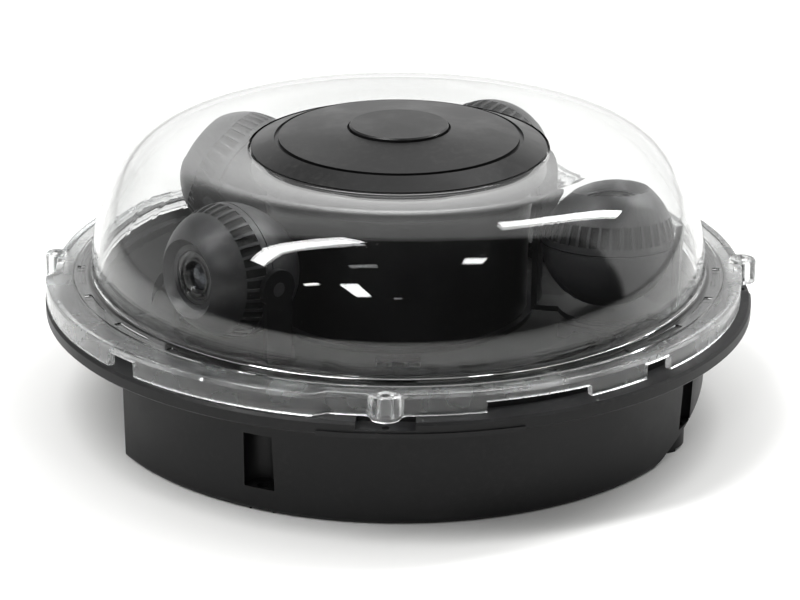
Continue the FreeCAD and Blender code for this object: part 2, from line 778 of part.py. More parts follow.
def screw_group(label, holes, head_radius, seat, length):
    """Pan-head screws as separate solids: head on its seat, shank down into the thread."""
    body = new_body(label)
    for index, where in enumerate(holes):
        cylinder(body, f"head_{index}", head_radius, "screw_head", where(seat), cut=False)
        cylinder(body, f"shank_{index}", "board_screw_radius", length, where(f"{seat} - ({length})"), cut=False)
        cylinder(body, f"socket_{index}", "socket_radius", "socket_depth",
                 where(f"{seat} + screw_head - socket_depth"))
    return body


def make_chassis_screws():
    holes = [lambda z, turn=turn: polar("ledge_screw_circle", f"ledge_azimuth + {turn}", z)
             for turn in (0, 90, 180, 270)]
    screw_group("chassis_screws", holes, "ledge_head_radius", "ledge_height + chassis_sheet",
                "chassis_sheet + base_wall - tip_gap")


def make_track():
    body = new_body("track_rail")
    floor_top = "tray_floor"
    inner, outer = "track_circle - rail_width / 2", "track_circle + rail_width / 2"
    turn(body, "rail", [
        (inner, floor_top),
        (outer, floor_top),
        (outer, f"{floor_top} + rail_height - rail_edge"),
        (f"{outer} - rail_edge", f"{floor_top} + rail_height"),
        (f"{inner} + rail_edge", f"{floor_top} + rail_height"),
        (inner, f"{floor_top} + rail_height - rail_edge"),
    ])


def make_hub_cover():
    """The black column in the middle, which hides the wiring and stands under the cap."""
    body = new_body("hub_cover")
    floor_top = "tray_floor"
    turn(body, "column", [
        ("hub_radius - hub_wall", floor_top),
        ("hub_foot", floor_top),
        ("hub_foot", f"{floor_top} + hub_wall"),
        ("hub_radius", f"{floor_top} + hub_wall"),
        ("hub_radius", "hub_top - hub_round", "hub_round", 1),
        ("hub_radius - hub_round", "hub_top"),
        ("0", "hub_top"),
        ("0", "hub_top - hub_wall"),
        ("hub_radius - hub_round", "hub_top - hub_wall", "hub_round - hub_wall", -1),
        ("hub_radius - hub_wall", "hub_top - hub_round"),
    ])
    post = cylinder(body, "post_form", "hub_post", f"hub_top - {floor_top} - hub_wall / 2",
                    polar("hub_screw_circle", "0", floor_top), cut=False)
    around(body, "hub_posts", [post], "4")
    thread = cylinder(body, "hub_thread", "board_screw_radius", "hub_screw_length + 2 * past",
                      polar("hub_screw_circle", "0", f"{floor_top} - past"))
    around(body, "hub_threads", [thread], "4")


def make_hub_screws():
    body = new_body("hub_screws")
    low = "tray_floor - chassis_sheet"
    seat, head_low = polar("hub_screw_circle", "0", low), polar("hub_screw_circle", "0", f"{low} - screw_head")
    head = cylinder(body, "head", "screw_head_radius", "screw_head", head_low, cut=False)
    shank = cylinder(body, "shank", "board_screw_radius", "hub_screw_length", seat, cut=False)
    socket = cylinder(body, "socket", "socket_radius", "socket_depth", head_low)
    around(body, "screws", [head, shank, socket], "4")


def make_carriage(camera):
    body = new_body(f"carriage_{camera}", place(angle=f"track_{camera} - carriage_sweep / 2"))
    floor_top = "tray_floor"
    rail_top = f"{floor_top} + rail_height + glide_gap"
    groove_half = "(rail_width / 2 + slide_gap)"
    outer_half = "carriage_width / 2"
    turn(body, "shoe", [
        (f"track_circle - {outer_half}", f"{floor_top} + slide_gap"),
        (f"track_circle - {groove_half}", f"{floor_top} + slide_gap"),
        (f"track_circle - {groove_half}", rail_top),
        (f"track_circle + {groove_half}", rail_top),
        (f"track_circle + {groove_half}", f"{floor_top} + slide_gap"),
        (f"track_circle + {outer_half}", f"{floor_top} + slide_gap"),
        (f"track_circle + {outer_half}", "carriage_top"),
        (f"track_circle - {outer_half}", "carriage_top"),
    ], sweep="carriage_sweep")
    cylinder(body, "pivot", "pivot_radius", "pivot_rise",
             polar("track_circle", "carriage_sweep / 2", "carriage_top"), cut=False)


def make_yoke(camera):
    body = new_body(f"yoke_{camera}", place(angle=f"track_{camera}") + " * "
                    + place(x="track_circle", angle=f"pan_{camera}"))
    inside = "ball_radius + arm_gap"
    outside = "ball_radius + arm_gap + arm_thick"
    low = "carriage_top + glide_gap"
    raise_up(body, "straps", [[
        (f"-({outside})", low),
        (outside, low),
        (outside, "ball_height"),
        (inside, "ball_height"),
        (inside, "yoke_top"),
        (f"-({inside})", "yoke_top"),
        (f"-({inside})", "ball_height"),
        (f"-({outside})", "ball_height"),
    ]], "-arm_width / 2", "arm_width", plane="YZ_Plane")
    raise_up(body, "turntable", [("circle", "0", "0", "yoke_disc")], low, f"yoke_top - ({low})")
    for side in (1, -1):
        start = inside if side > 0 else outside
        cylinder(body, f"arm_end_{'left' if side > 0 else 'right'}", "arm_end", "arm_thick",
                 place(y=f"{side} * ({start})", z="ball_height", axis="1; 0; 0", angle="-90"), cut=False)
    cylinder(body, "pin_hole", "pin_radius + running_gap", f"2 * ({outside}) + 2 * past",
             place(y=f"-({outside}) - past", z="ball_height", axis="1; 0; 0", angle="-90"))
    cylinder(body, "pivot_hole", "pivot_radius + running_gap", "pivot_rise + 2 * past",
             place(z=f"{low} - past"))


def ball_placement(camera):
    """From the ball's own frame, with the lens along Z and the tilt pins along Y, to its place."""
    return (
        place(angle=f"track_{camera}") + " * "
        + place(x="track_circle", z="ball_height", angle=f"pan_{camera}") + " * "
        + place(axis="0; 1; 0", angle=f"90 - lift_{camera}")
    )


def sphere_point(radius, height):
    """The corner of a turned outline where a ball of this radius reaches this height."""
    return f"sqrt(({radius}) ^ 2 - ({height}) ^ 2)", height


def make_ball_front(camera):
    body = new_body(f"ball_front_{camera}", ball_placement(camera))
    inner = "ball_radius - ball_wall"
    mouth_height = "sqrt(ball_radius ^ 2 - mouth_radius ^ 2)"
    turn(body, "front_shell", [
        (*sphere_point("ball_radius", "seam_gap"), "ball_radius", 1),
        ("mouth_radius", mouth_height),
        ("recess_radius", "recess_floor"),
        ("barrel_radius + running_gap", "recess_floor"),
        ("barrel_radius + running_gap", "front_back"),
        (*sphere_point(inner, "front_back"), inner, -1),
        sphere_point(inner, "seam_gap"),
    ])
    slot_width = "2 * ball_radius * sin(slot_sweep / 2)"
    slot_height = "2 * ball_radius * sin((slot_high - slot_low) / 2)"
    slot = block(body, "slot", "slot_depth + 2 * past", slot_width, slot_height,
                 place(angle="180 / slot_count") + " * "
                 + place(axis="0; 1; 0", angle="-(slot_low + slot_high) / 2") + " * "
                 + place("ball_radius - slot_depth", f"-({slot_width}) / 2", f"-({slot_height}) / 2"))
    around(body, "slots", [slot], "slot_count")
    cylinder(body, "pin_clearance", "pin_radius + pin_gap", "2 * ball_radius + 2 * past",
             place(y="-ball_radius - past", axis="1; 0; 0", angle="-90"))


def make_ball_rear(camera):
    body = new_body(f"ball_rear_{camera}", ball_placement(camera))
    inner = "ball_radius - ball_wall"
    lip_inner = f"{inner} - lip_thick"
    back = "sqrt(ball_radius ^ 2 - gland_radius ^ 2)"
    inner_back = f"sqrt(({inner}) ^ 2 - gland_radius ^ 2)"
    turn(body, "rear_shell", [
        (lip_inner, "lip_rise"),
        (lip_inner, f"-sqrt(({inner}) ^ 2 - ({lip_inner}) ^ 2)", inner, -1),
        ("gland_radius", f"-({inner_back})"),
        ("gland_radius", f"-({back})", "ball_radius", 1),
        sphere_point("ball_radius", "-seam_gap"),
        (f"{inner} - lip_gap", "-seam_gap"),
        (f"{inner} - lip_gap", "lip_rise"),
    ])
    for side in (1, -1):
        start = f"{inner} - lip_gap - past" if side > 0 else "ball_radius + arm_gap + arm_thick"
        cylinder(body, f"pin_{'left' if side > 0 else 'right'}", "pin_radius",
                 "ball_wall + lip_gap + arm_gap + arm_thick + past",
                 place(y=f"{side} * ({start})", axis="1; 0; 0", angle="-90"), cut=False)


def make_lens_barrel(camera):
    body = new_body(f"lens_barrel_{camera}", ball_placement(camera))
    neck = "barrel_radius - barrel_flange"
    flange_high = "front_back - flange_gap"
    flange_low = f"{flange_high} - barrel_flange"
    land = "barrel_radius - barrel_edge - ring_land"
    groove = f"{land} - barrel_edge - ring_groove"
    turn(body, "barrel", [
        ("barrel_bore", "barrel_back"),
        (neck, "barrel_back"),
        (neck, flange_low),
        ("barrel_radius + barrel_flange", flange_low),
        ("barrel_radius + barrel_flange", flange_high),
        ("barrel_radius", flange_high),
        ("barrel_radius", "barrel_face - barrel_edge"),
        ("barrel_radius - barrel_edge", "barrel_face"),
        (land, "barrel_face"),
        (f"{land} - barrel_edge", "barrel_face - ring_depth"),
        (groove, "barrel_face - ring_depth"),
        (f"{groove} - barrel_edge", "barrel_face - ring_step"),
        (f"{groove} - barrel_edge - ring_groove", "barrel_face - ring_step"),
        ("glass_radius + running_gap", "glass_top - ring_groove"),
        ("glass_radius + running_gap", "glass_seat"),
        ("barrel_bore", "glass_seat"),
    ])


def make_lens_glass(camera):
    body = new_body(f"lens_glass_{camera}", ball_placement(camera))
    sag = "(glass_top - glass_seat - glass_edge)"
    turn(body, "glass", [
        ("0", "glass_seat"),
        ("glass_radius", "glass_seat"),
        ("glass_radius", f"glass_top - {sag}", f"(glass_radius ^ 2 + {sag} ^ 2) / (2 * {sag})", 1),
        ("0", "glass_top"),
    ])


def make_sensor_board(camera):
    body = new_body(f"sensor_board_{camera}", ball_placement(camera))
    top = "barrel_back"
    block(body, "board", "board_size", "board_size", "board_thick",
          place("-board_size / 2", "-board_size / 2", f"{top} - board_thick"), cut=False)
    block(body, "connector", "plug_in_length", "plug_in_width", "plug_in_height",
          place("-plug_in_length / 2", "plug_in_width", f"{top} - board_thick - plug_in_height"), cut=False)


def make_main_board():
    body = new_body("main_board")
    length, width = "main_board_length", "main_board_width"
    block(body, "board", length, width, "board_thick",
          place(f"-{length} / 2", f"-{width} / 2", "main_board_height"), cut=False)
    block(body, "chip", "chip_size", "chip_size", "chip_height",
          place("-chip_shift - chip_size / 2", "-chip_size / 2", "board_top"), cut=False)
    for index in range(5):
        block(body, f"socket_{index}", "wire_socket_length", "wire_socket_width", "wire_socket_height",
              place(f"{index - 2} * wire_socket_pitch", f"{width} / 2 - wire_socket_inset - wire_socket_width",
                    "board_top"), cut=False)
    for index, (x_side, y_side) in enumerate(((1, 1), (-1, 1), (-1, -1), (1, -1))):
        cylinder(body, f"hole_{index}", "board_screw_radius + screw_gap", "board_thick + 2 * past",
                 place(f"{x_side} * standoff_x", f"{y_side} * standoff_y", "main_board_height - past"))


def make_heat_sink():
    body = new_body("heat_sink")
    low = "board_top + chip_height"
    block(body, "plate", "sink_size", "sink_size", "sink_base",
          place("-chip_shift - sink_size / 2", "-sink_size / 2", low), cut=False)
    fin = block(body, "fin", "fin_thick", "sink_size", "sink_height - sink_base",
                place("-chip_shift - sink_size / 2", "-sink_size / 2", f"{low} + sink_base"), cut=False)
    fins = body.newObject("PartDesign::LinearPattern", "fins")
    fins.Originals = [fin]
    fins.Direction = (origin(body, "X_Axis"), [""])
    fins.setExpression("Length", bound("sink_size - fin_thick"))
    fins.setExpression("Occurrences", bound("fin_count"))
    body.Tip = fins


def make_network_jack():
    body = new_body("network_jack")
    end = "main_board_length / 2"
    block(body, "case", "jack_length", "jack_width", "jack_height",
          place(f"{end} - jack_length", "-jack_width / 2", "board_top"), cut=False)
    block(body, "mouth", "jack_mouth_depth + past", "jack_mouth_width", "jack_mouth_height",
          place(f"{end} - jack_mouth_depth", "-jack_mouth_width / 2", "board_top + jack_mouth_lift"))


def make_board_screws():
    holes = []
    for x_side, y_side in ((1, 1), (-1, 1), (-1, -1), (1, -1)):
        x, y = f"{x_side} * standoff_x", f"{y_side} * standoff_y"
        holes.append(lambda z, x=x, y=y: place(x, y, z))
    screw_group("board_screws", holes, "screw_head_radius", "board_top", "board_screw_length")


def make_cable_grommet():
    body = new_body("cable_grommet")
    web_low = "grommet_recess"
    bevel = "entry_radius - grommet_hollow + grommet_bevel"
    turn(body, "grommet", [
        ("0", web_low),
        ("entry_radius - grommet_hollow", web_low),
        (bevel, "0"),
        ("entry_radius", "0"),
        ("entry_radius", "base_floor"),
        ("entry_radius + grommet_lip", "base_floor"),
        ("entry_radius + grommet_lip", "base_floor + grommet_top"),
        (bevel, "base_floor + grommet_top"),
        ("entry_radius - grommet_hollow", f"{web_low} + grommet_web"),
        ("0", f"{web_low} + grommet_web"),
    ])


def make_conduit_plug():
    """The threaded plug that closes the side entry; its head lies against the flat."""
    body = new_body("conduit_plug", place(x="-flat_distance", z="conduit_height", axis="0; 1; 0", angle="-90"))
    thread_end = "-base_wall - conduit_reach"
    head = "conduit_radius + conduit_head"
    turn(body, "plug", [
        ("0", thread_end),
        ("conduit_radius - conduit_bevel", thread_end),
        ("conduit_radius", f"{thread_end} + conduit_bevel"),
        ("conduit_radius", "0"),
        (head, "0"),
        (head, "conduit_head - conduit_edge"),
        (f"{head} - conduit_edge", "conduit_head"),
        ("0", "conduit_head"),
    ])
    corner_reach = "conduit_key / cos(30)"
    raise_up(body, "key_socket", [[
        (f"{corner_reach} * cos({60 * corner})", f"{corner_reach} * sin({60 * corner})") for corner in range(6)
    ]], "-conduit_head / 2", "2 * conduit_head", cut=True)


make_base_housing()
make_cover_seal()
make_dome_cover()
make_cap_seal()
make_centre_cap()
make_clamp_ring()
make_clamp_screws()
make_centre_plug()
make_chassis()
make_chassis_screws()
make_track()
make_hub_cover()
make_hub_screws()
make_main_board()
make_heat_sink()
make_network_jack()
make_board_screws()
make_cable_grommet()
make_conduit_plug()
for camera in CAMERAS:
    make_carriage(camera)
    make_yoke(camera)
    make_ball_front(camera)
    make_ball_rear(camera)
    make_lens_barrel(camera)
    make_lens_glass(camera)
    make_sensor_board(camera)
doc.recompute()

faults = [item.Name for item in doc.Objects if "Invalid" in item.State or "Error" in item.State]
faults += [item.Label for item in sub_parts if item.Shape.isNull() or not item.Shape.isValid()]
if faults:
    raise RuntimeError("failed: " + ", ".join(faults))
os.makedirs("parts", exist_ok=True)
for item in sub_parts:
    item.Shape.exportStep(f"parts/{item.Label}.step")
    print(item.Label, len(item.Shape.Solids), round(item.Shape.Volume, 1))
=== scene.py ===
"""Looks of the multi-sensor dome camera: the clear cover, the finishes and the studio around the
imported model. Metres, +Z up, the front towards -Y."""

import math

import bmesh
import bpy
from mathutils import Matrix, Vector


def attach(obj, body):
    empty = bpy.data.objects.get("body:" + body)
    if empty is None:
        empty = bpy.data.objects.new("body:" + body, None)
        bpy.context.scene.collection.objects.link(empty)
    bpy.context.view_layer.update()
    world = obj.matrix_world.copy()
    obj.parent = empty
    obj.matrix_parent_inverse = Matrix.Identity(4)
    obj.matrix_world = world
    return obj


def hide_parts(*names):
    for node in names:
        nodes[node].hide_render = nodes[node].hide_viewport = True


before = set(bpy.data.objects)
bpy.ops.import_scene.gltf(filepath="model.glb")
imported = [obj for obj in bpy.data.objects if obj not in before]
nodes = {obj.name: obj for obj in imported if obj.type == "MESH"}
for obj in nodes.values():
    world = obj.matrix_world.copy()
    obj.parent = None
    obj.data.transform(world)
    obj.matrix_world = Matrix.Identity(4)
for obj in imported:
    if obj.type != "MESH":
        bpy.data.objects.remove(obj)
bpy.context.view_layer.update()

# each camera's place on the track, its turn from straight out and its lift, in degrees
CAMERAS = {"front_left": (221.5, 0, 3), "right": (345, 93, 85), "rear_right": (63, -8, 22),
           "rear_left": (139.5, 14, 28)}
# the balls' circle and height in millimetres; their slots' floors from the centre, and the slots' top, which
# bound the shade painted into the slots
TRACK_CIRCLE, BALL_HEIGHT, SLOT_FLOOR, SLOT_TOP = 90.0, 80.5, 26.2, 12.5
MM = 0.001

# Clear cover, in millimetres and degrees. Its bosses are slimmer than the solid's, and its seat has a lip
COVER_WALL = 3.0
DOME_RADIUS, DOME_SPRING, DOME_REACH, DOME_TOP, CROWN = 130.7, 64.0, 38.7, 118.0, 31.0
SEAT_RADIUS, SEAT_HEIGHT, SEAT_LIP, DOME_HOLE = 63.5, 113.0, 1.8, 57.5
FLANGE_TOP, FLANGE_UNDER, SKIRT_BOTTOM = 62.5, 59.5, 53.0
SKIRT_RADIUS, WIDE_RADIUS, WIDE_START, WIDE_END = 146.0, 150.0, 187.5, 257.0
WIDE_RUN_IN, WIDE_RUN_OUT = 1.5, 2.3
BOSS_CIRCLE, BOSS_BORE, BOSS_FILLET = 147.5, 2.4, 3.0
BOSS_LOW, BOSS_TOP = 54.0, 63.1
# azimuth and radius of each boss: the left one is slimmer
BOSSES = ((268.2, 5.8), (1.4, 5.8), (88.6, 5.8), (176.8, 4.6))
# start, end and height of each notch in the skirt
NOTCHES = ((219.9, 225.9, 59.0), (312.3, 318.0, 59.0), (42.0, 48.0, 59.0), (131.0, 137.0, 59.0),
           (283.6, 301.1, 57.4))
# shallow recesses round the flange, the gutter outside them and the outer edge
RECESS_START, RECESS_SWEEP, RECESS_PITCH, RECESS_COUNT = 3.0, 9.0, 15.0, 24
RECESS_INNER, RECESS_OUTER, RECESS_DEPTH = 133.6, 136.8, 0.7
GUTTER_INNER, GUTTER_OUTER, GUTTER_DEPTH, EDGE_WIDTH = 138.2, 140.6, 0.45, 3.4
BORE_MOUTH, BORE_MOUTH_SCALE, BORE_MOUTH_DEPTH, BORE_LENGTH = 1.1, 1.45, 0.7, 14.0
BOSS_EDGE, BOSS_INSET = 0.9, 0.12


def deselect():
    bpy.ops.object.select_all(action="DESELECT")


def edit(piece):
    """Opens a piece in edit mode with nothing selected."""
    deselect()
    piece.select_set(True)
    bpy.context.view_layer.objects.active = piece
    bpy.ops.object.mode_set(mode="EDIT")
    bpy.ops.mesh.select_all(action="DESELECT")


def close_edit():
    bpy.ops.object.mode_set(mode="OBJECT")


def smooth(piece, angle=30):
    deselect()
    piece.select_set(True)
    bpy.context.view_layer.objects.active = piece
    bpy.ops.object.shade_smooth_by_angle(angle=math.radians(angle))


def apply_modifier(piece, kind, **settings):
    deselect()
    piece.select_set(True)
    bpy.context.view_layer.objects.active = piece
    modifier = piece.modifiers.new(kind.lower(), kind)
    for key, setting in settings.items():
        setattr(modifier, key, setting)
    bpy.ops.object.modifier_apply(modifier=modifier.name)


def turned(name, azimuths, levels):
    """A closed ring drawn out level by level: levels are functions from azimuth in degrees to a
    radius and a height in millimetres, and the last one is the first."""
    deselect()
    bpy.ops.mesh.primitive_circle_add(vertices=len(azimuths), radius=1)
    piece = bpy.context.object
    piece.name = name
    edit(piece)
    mesh = bmesh.from_edit_mesh(piece.data)
    mesh.verts.ensure_lookup_table()

    def put(vertex, azimuth, level):
        radius, height = level(azimuth)
        angle = math.radians(azimuth)
        vertex.co = (radius * math.cos(angle) * MM, radius * math.sin(angle) * MM, height * MM)

    loop = [mesh.verts[0]]
    while len(loop) < len(azimuths):
        loop.append(next(other for other in (edge.other_vert(loop[-1]) for edge in loop[-1].link_edges)
                         if other not in loop[-2:]))
    for vertex, azimuth in zip(loop, azimuths):
        put(vertex, azimuth, levels[0])
    by_azimuth = sorted(azimuths)
    bpy.ops.mesh.select_all(action="SELECT")
    for level in levels[1:]:
        bpy.ops.mesh.extrude_region_move()
        mesh = bmesh.from_edit_mesh(piece.data)
        for vertex in mesh.verts:
            if vertex.select:
                angle = math.degrees(math.atan2(vertex.co.y, vertex.co.x)) % 360
                put(vertex, nearest(by_azimuth, angle), level)
    bpy.ops.mesh.select_all(action="SELECT")
    bpy.ops.mesh.remove_doubles(threshold=1e-6)
    bpy.ops.mesh.normals_make_consistent(inside=False)
    close_edit()
    return piece


def nearest(values, value):
    """The value of a sorted list that lies nearest, which undoes rounding."""
    low, high = 0, len(values) - 1
    while high - low > 1:
        middle = (low + high) // 2
        low, high = (middle, high) if values[middle] <= value else (low, middle)
    return min((values[low], values[high], values[0]), key=lambda other: abs(other - value))


def turned_off(azimuth, centre):
    """The turn from a centre azimuth, between -180 and 180 degrees."""
    return (azimuth - centre + 180) % 360 - 180


def arc(centre, radius, start, end, count):
    """Points of an arc in the section, angles in radians, without its last point."""
    return [(centre[0] + radius * math.cos(start + (end - start) * step / count),
             centre[1] + radius * math.sin(start + (end - start) * step / count)) for step in range(count)]


def skirt_reach(azimuth):
    """The skirt's outer radius: a wide stretch at the front left, and a round bulge at each boss."""
    if WIDE_START <= azimuth <= WIDE_END:
        reach = WIDE_RADIUS
    elif WIDE_END < azimuth < WIDE_END + WIDE_RUN_OUT:
        reach = WIDE_RADIUS + (SKIRT_RADIUS - WIDE_RADIUS) * (azimuth - WIDE_END) / WIDE_RUN_OUT
    elif WIDE_START - WIDE_RUN_IN < azimuth < WIDE_START:
        reach = WIDE_RADIUS + (SKIRT_RADIUS - WIDE_RADIUS) * (WIDE_START - azimuth) / WIDE_RUN_IN
    else:
        reach = SKIRT_RADIUS
    for centre, radius in BOSSES:
        side_step = math.sqrt((radius + BOSS_FILLET) ** 2 - (SKIRT_RADIUS + BOSS_FILLET - BOSS_CIRCLE) ** 2)
        meeting = side_step * radius / (radius + BOSS_FILLET)
        offset = abs(BOSS_CIRCLE * math.radians(turned_off(azimuth, centre)))
        if offset <= meeting:
            reach = BOSS_CIRCLE + math.sqrt(radius**2 - offset**2)
        elif offset < side_step:
            reach = SKIRT_RADIUS + BOSS_FILLET - math.sqrt(BOSS_FILLET**2 - (offset - side_step) ** 2)
    return reach


def skirt_bottom(azimuth):
    for start, end, height in NOTCHES:
        if start < azimuth < end:
            return height
    return SKIRT_BOTTOM


def in_recess(azimuth):
    return 0 < (azimuth - RECESS_START) % RECESS_PITCH < RECESS_SWEEP


def cover_azimuths():
    """Even steps, finer round the bosses, with a close pair at each edge of a notch or recess."""
    spread = {round(0.9 * step, 4) for step in range(400)}
    for centre, _ in BOSSES:
        spread |= {round((centre + 0.2 * step) % 360, 4) for step in range(-19, 20)}
    edges = [edge for start, end, _ in NOTCHES for edge in (start, end)]
    edges += [WIDE_START - WIDE_RUN_IN, WIDE_START, WIDE_END, WIDE_END + WIDE_RUN_OUT]
    edges += [(RECESS_START + RECESS_PITCH * step + side) % 360
              for step in range(RECESS_COUNT) for side in (0, RECESS_SWEEP)]
    for edge in edges:
        spread = {azimuth for azimuth in spread if abs(turned_off(azimuth, edge)) > 0.12}
    for edge in edges:
        spread |= {round((edge - 0.04) % 360, 4), round((edge + 0.04) % 360, 4)}
    return sorted(spread)


def dome_sections():
    """The dome's outer and inner lines from the cap's seat out to the flange."""
    rise = DOME_TOP - DOME_SPRING
    side = (DOME_REACH**2 + rise**2 - 2 * rise * CROWN) / (2 * (DOME_REACH - CROWN))
    lean = math.atan2(rise - CROWN, side - DOME_REACH)
    middle = DOME_RADIUS - DOME_REACH
    fall = DOME_TOP - SEAT_HEIGHT - SEAT_LIP
    dip = ((middle - SEAT_RADIUS) ** 2 + fall**2) / (2 * fall)
    tilt = math.asin((middle - SEAT_RADIUS) / dip)
    half_turn = math.pi / 2

    def line(inset):
        points = arc((middle, DOME_TOP - dip), dip - inset, half_turn + tilt, half_turn, 8)
        points += arc((middle, DOME_TOP - CROWN), CROWN - inset, half_turn, lean, 16)
        points += arc((DOME_RADIUS - side, DOME_SPRING), side - inset, lean, 0, 14)
        return points

    return line(0), line(COVER_WALL)


def make_clear_cover():
    outer, inner = dome_sections()
    fixed = lambda radius, height: lambda azimuth: (radius, height)
    flange = FLANGE_TOP
    # the cap's seat, sunk below the dome's rounded crown
    levels = [fixed(DOME_HOLE + 0.3, SEAT_HEIGHT), fixed(SEAT_RADIUS - 0.5, SEAT_HEIGHT),
              fixed(SEAT_RADIUS - 0.1, SEAT_HEIGHT + 0.3),
              fixed(SEAT_RADIUS - 0.05, SEAT_HEIGHT + SEAT_LIP - 0.3)]
    levels += [fixed(*point) for point in outer]
    levels += [fixed(DOME_RADIUS, DOME_SPRING), fixed(DOME_RADIUS + 0.1, flange + 0.9),
               fixed(DOME_RADIUS + 0.45, flange + 0.35), fixed(DOME_RADIUS + 1.1, flange + 0.05),
               fixed(DOME_RADIUS + 1.8, flange)]
    sunk = lambda azimuth: flange - (RECESS_DEPTH if in_recess(azimuth) else 0)
    levels += [fixed(RECESS_INNER - 0.05, flange), lambda azimuth: (RECESS_INNER + 0.05, sunk(azimuth)),
               lambda azimuth: (RECESS_OUTER - 0.05, sunk(azimuth)), fixed(RECESS_OUTER + 0.05, flange),
               fixed(GUTTER_INNER, flange), fixed(GUTTER_INNER + 0.3, flange - GUTTER_DEPTH)]
    # the outer edge and the skirt follow the wide stretch and the bosses
    lip = lambda inset, height: lambda azimuth: (skirt_reach(azimuth) - inset, height)
    levels += [fixed(GUTTER_OUTER, flange - GUTTER_DEPTH), lip(EDGE_WIDTH, flange - GUTTER_DEPTH),
               lip(EDGE_WIDTH - 0.3, flange), lip(0.8, flange),
               lip(0.35, flange - 0.12), lip(0.08, flange - 0.4), lip(0, flange - 0.8)]
    foot = lambda inset, lift: lambda azimuth: (skirt_reach(azimuth) - inset, skirt_bottom(azimuth) + lift)
    levels += [foot(0, 0.35), foot(0.1, 0.1), foot(0.35, 0), foot(COVER_WALL - 0.35, 0),
               foot(COVER_WALL, 0.35)]
    levels += [lambda azimuth: (skirt_reach(azimuth) - COVER_WALL, FLANGE_UNDER)]
    levels += [fixed(GUTTER_OUTER - 0.2, FLANGE_UNDER), fixed(DOME_RADIUS - COVER_WALL + 0.3, FLANGE_UNDER),
               fixed(DOME_RADIUS - COVER_WALL, FLANGE_UNDER + 0.3)]
    levels += [fixed(DOME_RADIUS - COVER_WALL, DOME_SPRING)]
    levels += [fixed(*point) for point in reversed(inner)]
    seat_under = SEAT_HEIGHT - COVER_WALL
    levels += [fixed(SEAT_RADIUS + 0.5, seat_under), fixed(DOME_HOLE + 0.3, seat_under),
               fixed(DOME_HOLE, seat_under + 0.3), fixed(DOME_HOLE, SEAT_HEIGHT - 0.3)]
    levels.append(levels[0])
    cover = turned("clear_cover", cover_azimuths(), levels)
    for index, (azimuth, radius) in enumerate(BOSSES):
        boss = make_boss(index, azimuth, radius)
        apply_modifier(cover, "BOOLEAN", operation="UNION", object=boss, solver="EXACT")
        bpy.data.objects.remove(boss)
        bore = make_bore(azimuth)
        apply_modifier(cover, "BOOLEAN", operation="DIFFERENCE", object=bore, solver="EXACT")
        bpy.data.objects.remove(bore)
    smooth(cover, 28)
    return cover


def at_azimuth(azimuth, radius=BOSS_CIRCLE):
    angle = math.radians(azimuth)
    return radius * math.cos(angle) * MM, radius * math.sin(angle) * MM


def make_boss(index, azimuth, radius):
    """A round post through the flange, its top edge rounded."""
    x, y = at_azimuth(azimuth)
    low, high = BOSS_LOW + 0.15, BOSS_TOP
    deselect()
    bpy.ops.mesh.primitive_cylinder_add(vertices=56, radius=(radius - BOSS_INSET) * MM,
                                        depth=(high - low) * MM, location=(x, y, (low + high) / 2 * MM))
    boss = bpy.context.object
    boss.name = f"boss_{index}"
    bpy.ops.object.transform_apply(location=True, rotation=True, scale=True)
    edit(boss)
    mesh = bmesh.from_edit_mesh(boss.data)
    for edge in mesh.edges:
        edge.select = all(abs(vertex.co.z - high * MM) < 1e-6 for vertex in edge.verts)
    mesh.select_flush_mode()
    bpy.ops.mesh.bevel(offset=BOSS_EDGE * MM, segments=4, profile=0.5, affect="EDGES")
    close_edit()
    return boss


def make_bore(azimuth):
    """The boss's bore with its countersunk mouth, as a cutter."""
    x, y = at_azimuth(azimuth)
    deselect()
    bpy.ops.mesh.primitive_cylinder_add(vertices=40, radius=BOSS_BORE * MM, depth=BORE_LENGTH * MM,
                                        location=(x, y, (BOSS_TOP - BORE_MOUTH - BORE_LENGTH / 2) * MM))
    bore = bpy.context.object
    bpy.ops.object.transform_apply(location=True, rotation=True, scale=True)
    edit(bore)
    mesh = bmesh.from_edit_mesh(bore.data)
    for face in mesh.faces:
        face.select = face.normal.z > 0.9
    bpy.ops.mesh.extrude_region_move(TRANSFORM_OT_translate={"value": (0, 0, BORE_MOUTH_DEPTH * MM)})
    bpy.ops.transform.resize(value=(BORE_MOUTH_SCALE, BORE_MOUTH_SCALE, 1), center_override=(x, y, 0))
    bpy.ops.mesh.extrude_region_move(TRANSFORM_OT_translate={"value": (0, 0, 1.5 * MM)})
    close_edit()
    return bore


# Shader node groups that several finishes share
def new_group(name, inputs, outputs):
    group = bpy.data.node_groups.new(name, "ShaderNodeTree")
    for label, kind, default in inputs:
        socket = group.interface.new_socket(label, in_out="INPUT", socket_type=kind)
        socket.default_value = default
    for label, kind in outputs:
        group.interface.new_socket(label, in_out="OUTPUT", socket_type=kind)
    return group, group.nodes.new("NodeGroupInput"), group.nodes.new("NodeGroupOutput")


def add(tree, kind, links=None, **settings):
    """A node with its plain settings, and links or values for its inputs by name or index."""
    node = tree.nodes.new(kind)
    for key, setting in settings.items():
        setattr(node, key, setting)
    for key, source in (links or {}).items():
        if isinstance(source, bpy.types.NodeSocket):
            tree.links.new(source, node.inputs[key])
        else:
            node.inputs[key].default_value = source
    return node


def spread(tree, source, low, high, to_low=0.0, to_high=1.0):
    """Maps a value between two bounds, smoothly."""
    return add(tree, "ShaderNodeMapRange", {"Value": source, "From Min": low, "From Max": high,
                                            "To Min": to_low, "To Max": to_high},
               interpolation_type="SMOOTHSTEP").outputs["Result"]


def math_node(tree, operation, *values):
    return add(tree, "ShaderNodeMath", dict(enumerate(values)), operation=operation).outputs[0]


